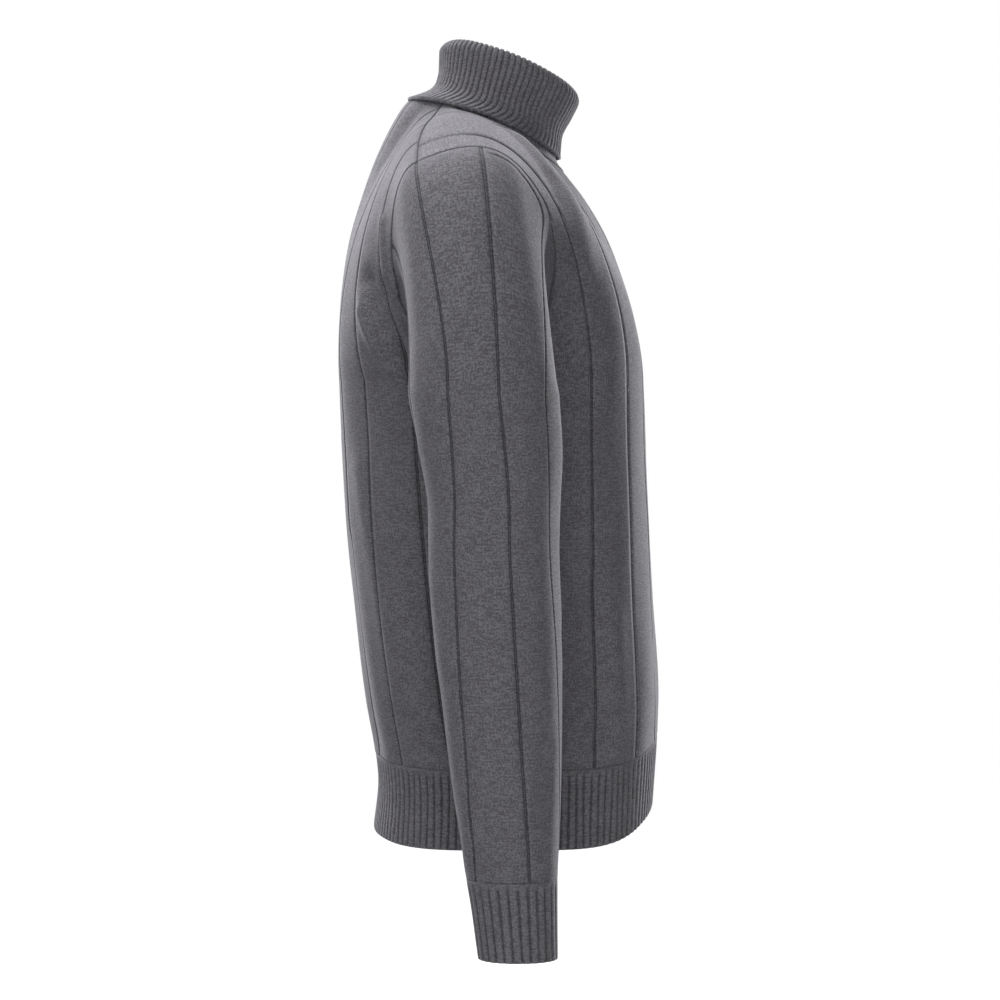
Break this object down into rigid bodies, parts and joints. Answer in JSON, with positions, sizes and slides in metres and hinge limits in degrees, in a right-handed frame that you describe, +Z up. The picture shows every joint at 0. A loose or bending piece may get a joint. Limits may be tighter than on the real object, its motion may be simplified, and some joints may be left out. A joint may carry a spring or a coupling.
{
  "type": "turtleneck sweater",
  "caption": "Fine-knit turtleneck sweater filled out as when worn, with a folded ribbed collar, ribbed hem and cuffs, long set-in sleeves and sunk lines down body and sleeves.",
  "frame": {"origin": "middle of the neck, level with the highest points of the shoulders, where the wearer holds the sweater up", "axes": "+Z up, -Y the front, +X the wearer's left"},
  "size_m": [0.607, 0.2916, 0.804],
  "materials": {
    "plain_knit": "soft matt grey melange wool knit",
    "rib_knit": "soft matt grey melange wool rib knit"
  },
  "bodies": {
    "root": {"front_panel": "plain_knit", "back_panel": "plain_knit", "front_hem_rib": "rib_knit", "back_hem_rib": "rib_knit", "right_sleeve": "plain_knit", "right_cuff": "rib_knit", "left_sleeve": "plain_knit", "left_cuff": "rib_knit", "turtleneck_collar": "rib_knit"}
  },
  "joints": []
}
